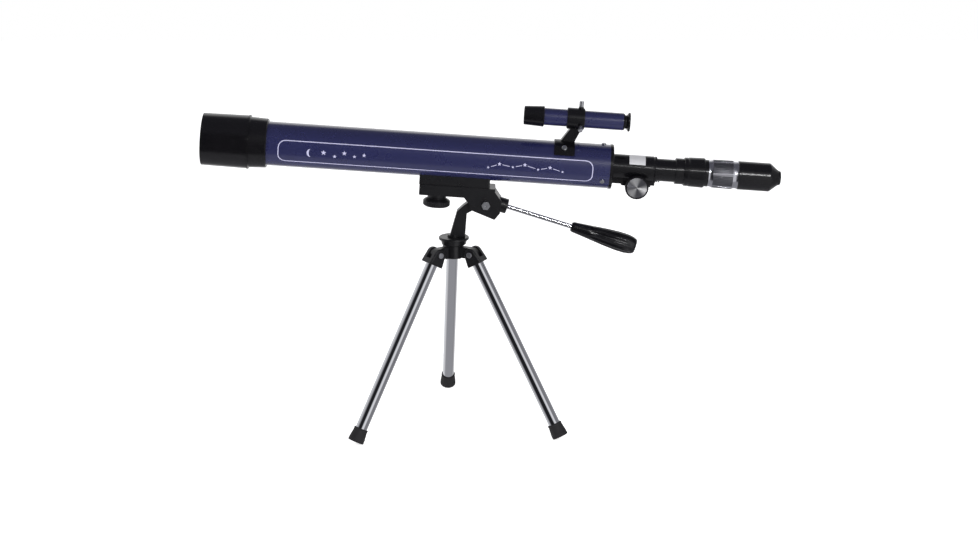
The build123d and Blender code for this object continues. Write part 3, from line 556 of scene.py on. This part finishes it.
angle = add(
    tree,
    "ShaderNodeMath",
    {"operation": "ARCTAN2"},
    i0=spokes.outputs["Z"],
    i1=spokes.outputs["X"],
)
# Painted highlight: the colour turns from grey to white in three fixed sectors round the disc's
# middle.
painted_highlight = add(
    tree,
    "ShaderNodeMath",
    {"operation": "MULTIPLY_ADD", "1": PAINTED_FAN_COUNT, "2": PAINTED_FAN_TURN},
    i0=angle.outputs["Value"],
)
painted_highlight = add(tree, "ShaderNodeMath", {"operation": "COSINE"}, i0=painted_highlight.outputs["Value"])
painted_highlight = add(
    tree,
    "ShaderNodeMapRange",
    {"interpolation_type": "SMOOTHSTEP", "From Min": -0.9, "From Max": 1.0},
    Value=painted_highlight.outputs["Value"],
)
two_tone(tree, shader, painted_highlight.outputs["Result"], "#84848A", "#FFFFFF")
dress(turned_face, "focus_knob_discs")


# Zoom ring: moulded plastic, vacuum-chromed, with two raised rims and a waist of six framed
# panels, each sunk and filled with lengthwise ribs for grip. It turns on the eyepiece's spigot.
RING_LENGTH = 38.0
RING_RADIUS = 17.6
RING_BORE = 14.3
RING_SIDES = 162
PANELS = 6
PANEL_START = 20.0
FRAME_SIDES = 5
RIM_FRONT = -15.0
RIM_REAR = 13.6
RIM_FRAME = 1.6
RIM_RISE = 0.5
PANEL_DEPTH = 0.45
RIB_RISE = 0.4
RIB_EVERY = 3
FLARE = 0.022
EDGE_RADIUS = 0.12
SHARP_ANGLE = 40
bpy.ops.object.select_all(action="DESELECT")
bpy.ops.mesh.primitive_cylinder_add(
    vertices=RING_SIDES, radius=RING_RADIUS, depth=RING_LENGTH, end_fill_type="NOTHING"
)
zoom_ring = start_piece("zoom_ring_grip")
bpy.ops.mesh.select_all(action="DESELECT")
bpy.ops.mesh.select_non_manifold()
bpy.ops.mesh.extrude_region_move()
narrow = RING_BORE / RING_RADIUS
bpy.ops.transform.resize(value=(narrow, narrow, 1), center_override=(0, 0, 0))
bpy.ops.mesh.bridge_edge_loops()
cut_levels(2, (RIM_FRONT, RIM_FRONT + RIM_FRAME, RIM_REAR - RIM_FRAME, RIM_REAR))


def pick_faces(piece, wanted):
    """Selects the faces whose middle passes a test, in the open mesh."""
    bpy.ops.mesh.select_all(action="DESELECT")
    bpy.ops.object.mode_set(mode="OBJECT")
    for face in piece.data.polygons:
        face.select = wanted(face.center)
    bpy.ops.object.mode_set(mode="EDIT")
    bpy.ops.mesh.select_mode(type="FACE")


def outer(middle):
    """Whether a face of the ring lies on its outside."""
    return math.hypot(middle.x, middle.y) > RING_RADIUS - 0.3


def in_panel(middle):
    """Whether a face lies inside a panel's frame, and which side of the panel it is."""
    turn = (math.degrees(math.atan2(middle.y, middle.x)) - PANEL_START) % (360 / PANELS)
    side = int(turn / (360 / RING_SIDES) + FRAME_SIDES / 2)
    waist = RIM_FRONT + RIM_FRAME < middle.z < RIM_REAR - RIM_FRAME
    return waist and outer(middle) and FRAME_SIDES <= side < RING_SIDES / PANELS, side


def on_rib(middle):
    """Whether a face of a sunk panel belongs to a rib."""
    inside, side = in_panel(middle * 1.03)
    return inside and side % RIB_EVERY == 0


pick_faces(zoom_ring, lambda middle: outer(middle) and not RIM_FRONT < middle.z < RIM_REAR)
bpy.ops.mesh.extrude_region_shrink_fatten(TRANSFORM_OT_shrink_fatten={"value": RIM_RISE})
# The rims and frames come from a lightly polished mould, so their chrome is silky.
matt_chrome, tree, shader = surface(
    "matt_chromed_plastic", "#D2D2D8", metallic=1.0, roughness=0.22
)
grain(tree, shader, 0.4, 0.003, 0.2, 0.28)
# The panels' floor and ribs come from a blasted one, so theirs is grey and blurs what it mirrors.
dull_chrome, tree, shader = surface(
    "blasted_chromed_plastic", "#85858B", metallic=1.0, roughness=0.42
)
grain(tree, shader, 0.3, 0.004, 0.36, 0.5)
zoom_ring.data.materials.append(matt_chrome)
zoom_ring.data.materials.append(dull_chrome)
pick_faces(zoom_ring, lambda middle: in_panel(middle)[0])
zoom_ring.active_material_index = 1
bpy.ops.object.material_slot_assign()
bpy.ops.mesh.extrude_region_shrink_fatten(TRANSFORM_OT_shrink_fatten={"value": -PANEL_DEPTH})
pick_faces(zoom_ring, on_rib)
bpy.ops.mesh.extrude_region_shrink_fatten(TRANSFORM_OT_shrink_fatten={"value": RIB_RISE})
bpy.ops.object.mode_set(mode="OBJECT")
for vertex in zoom_ring.data.vertices:
    flare = 1 + FLARE * vertex.co.z / RING_LENGTH
    if math.hypot(vertex.co.x, vertex.co.y) > RING_BORE + 0.5:
        vertex.co = (vertex.co.x * flare, vertex.co.y * flare, vertex.co.z)
lay_along = Matrix(((0, 0, 1, ZOOM_STATION), (0, 1, 0, 0), (-1, 0, 0, 0), (0, 0, 0, 1)))
zoom_ring.data.transform(tube_place() @ Matrix.Scale(MM, 4) @ lay_along)
bpy.ops.object.select_all(action="DESELECT")
zoom_ring.select_set(True)
bpy.context.view_layer.objects.active = zoom_ring
bevel = zoom_ring.modifiers.new("edges", "BEVEL")
bevel.width = EDGE_RADIUS * MM
bevel.segments = 2
bevel.limit_method = "ANGLE"
bevel.angle_limit = math.radians(SHARP_ANGLE)
bpy.ops.object.modifier_apply(modifier="edges")
bpy.ops.object.shade_smooth_by_angle(angle=math.radians(SHARP_ANGLE))
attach(zoom_ring, "zoom")
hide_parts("zoom_ring")


# Handle grip: moulded black plastic pushed onto the rod, thin where the rod enters and
# fullest near its end, with ten long finger flutes between rounded ribs.
GRIP_FRONT = 84.0
GRIP_REAR = 170.5
GRIP_SIDES = 120
GRIP_RIBS = 10
GRIP_LENGTH = GRIP_REAR - GRIP_FRONT
GRIP_PROFILE = (
    (0, 5.4),
    (2.5, 6.7),
    (12, 7.6),
    (30, 9.5),
    (46, 11.2),
    (62, 12.4),
    (74, 12.4),
    (82, 11.2),
    (85.2, 9.8),
    (86.5, 8.6),
)
NOSE_CUTS = [0.6, 1.4, 2.5, 4]
BODY_CUTS = [3.2 * k for k in range(2, 27)]
END_CUTS = [85.2, 85.9]
FLUTE_START = 22.0
FLUTE_FULL = 14.0
FLUTE_END = 84.5
FLUTE_FADE = 5.0
FLUTE_DEPTH = 1.25
bpy.ops.object.select_all(action="DESELECT")
bpy.ops.mesh.primitive_cylinder_add(
    vertices=GRIP_SIDES,
    radius=1,
    depth=GRIP_LENGTH,
    location=(0, 0, GRIP_LENGTH / 2),
    end_fill_type="NGON",
)
grip = start_piece("fluted_grip")
cut_levels(2, NOSE_CUTS + BODY_CUTS + END_CUTS)
bpy.ops.object.mode_set(mode="OBJECT")


def grip_radius(rise):
    """The grip's outline: its radius at a distance from its nose."""
    for (a, ra), (b, rb) in zip(GRIP_PROFILE, GRIP_PROFILE[1:]):
        if rise <= b:
            return ra + (rb - ra) * max(0.0, rise - a) / (b - a)
    return GRIP_PROFILE[-1][1]


for vertex in grip.data.vertices:
    rise = vertex.co.z
    angle = math.atan2(vertex.co.y, vertex.co.x)
    near = [grip_radius(min(max(rise + step, 0), GRIP_LENGTH)) for step in (-2, -1, 0, 1, 2)]
    radius = sum(near) / len(near) if 4 < rise < 82 else grip_radius(rise)
    start = min(max((rise - FLUTE_START) / FLUTE_FULL, 0), 1)
    end = min(max((FLUTE_END - rise) / FLUTE_FADE, 0), 1)
    depth = FLUTE_DEPTH * start * start * (3 - 2 * start) * end * end * (3 - 2 * end)
    radius -= depth * (0.5 + 0.5 * math.cos(GRIP_RIBS * angle)) ** 0.7
    vertex.co = (radius * math.cos(angle), radius * math.sin(angle), rise)
rod = Vector(joints["handle_twist"]["axis"])
across = Vector((0, 1, 0))
rod_place = Matrix((rod.cross(across), across, rod)).transposed().to_4x4()
nose = Vector(joints["handle_twist"]["pos_m"]) + rod * GRIP_FRONT * MM
grip.data.transform(Matrix.Translation(nose) @ rod_place @ Matrix.Scale(MM, 4))
bpy.ops.object.select_all(action="DESELECT")
grip.select_set(True)
bpy.context.view_layer.objects.active = grip
bpy.ops.object.mode_set(mode="EDIT")
bpy.ops.mesh.select_all(action="SELECT")
bpy.ops.mesh.normals_make_consistent(inside=False)
bpy.ops.object.mode_set(mode="OBJECT")
bpy.ops.object.shade_smooth_by_angle(angle=math.radians(50))
grip.data.materials.clear()
grip.data.materials.append(gloss_abs)
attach(grip, "handle")
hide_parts("handle_grip")


# Label on the focuser: silver-white vinyl, left blank and pressed on by hand over the
# moulding, so it ripples a little and its highlights break up.
vinyl, tree, shader = surface("pressed_vinyl_label", "#C9C9CC", metallic=0.1, roughness=0.32)
tone = grain(tree, shader, 2.5, 0.03, 0.28, 0.4)
two_tone(tree, shader, tone, "#C2C2C5", "#CECED1")
dress(vinyl, "foil_label")


# Rubber feet: moulded black caps pushed onto the leg ends. The rubber is dull with a fine
# pebble, and dust in it leaves it slightly uneven in tone.
rubber, tree, shader = surface("moulded_rubber", "#1B1A1C", roughness=0.7, IOR=1.52)
tone = grain(tree, shader, 0.5, 0.04, 0.6, 0.8)
two_tone(tree, shader, tone, "#171618", "#232224")
dress(rubber, "leg_foot_1", "leg_foot_2", "leg_foot_3")


# Lenses: crown and flint glass, ground, polished and seated in their cells. They are clear
# and mirror-smooth, and a thin coating gives their reflections a violet cast.
coated_glass, tree, shader = surface(
    "polished_coated_glass",
    "#F2F0FF",
    roughness=0.02,
    IOR=1.52,
    Transmission_Weight=1.0,
    Coat_Weight=0.4,
    Coat_Tint=linear("#8A7BE0"),
)
grain(tree, shader, 5.0, 0.0002, 0.01, 0.03)
dress(
    coated_glass,
    "objective_crown_lens",
    "objective_flint_lens",
    "eyepiece_field_lens",
    "zoom_lens",
    "eyepiece_eye_lens",
    "finder_objective",
    "finder_eye_lens",
)


# Inner pieces: light stops, lens carrier, retaining ring and the rack, all painted or
# moulded flat black. The dry, chalky skin gives almost no highlight.
flat_black, tree, shader = surface("flat_black_paint", "#0C0C0D", roughness=0.85)
tone = grain(tree, shader, 0.3, 0.02, 0.8, 0.92)
two_tone(tree, shader, tone, "#0A0A0B", "#121213")
dress(flat_black, "objective_retainer", "tube_baffles", "zoom_carrier", "focus_rack")


# Pinion and fasteners. The pinion is cut from brass on the knobs' shaft, and its cutter marks
# blur a warm shine.
brass, tree, shader = surface("machined_brass", "#C9A45C", metallic=1.0, roughness=0.25)
grain(tree, shader, 0.4, 0.005, 0.2, 0.32)
dress(brass, "focus_pinion")
# Screws, bolts and pins are steel, zinc-plated in a barrel: a greyish, softly blurred metal.
steel, tree, shader = surface("zinc_plated_steel", "#D6D7DB", metallic=1.0, roughness=0.4)
grain(tree, shader, 0.5, 0.006, 0.34, 0.46, edge_mm=0.3)
dress(
    steel,
    "saddle_screws",
    "camera_screw",
    "pan_bolt",
    "leg_pins",
    "tilt_bolt",
    "tube_screws",
    "shoe_screws",
    "pinion_cover_screws",
)
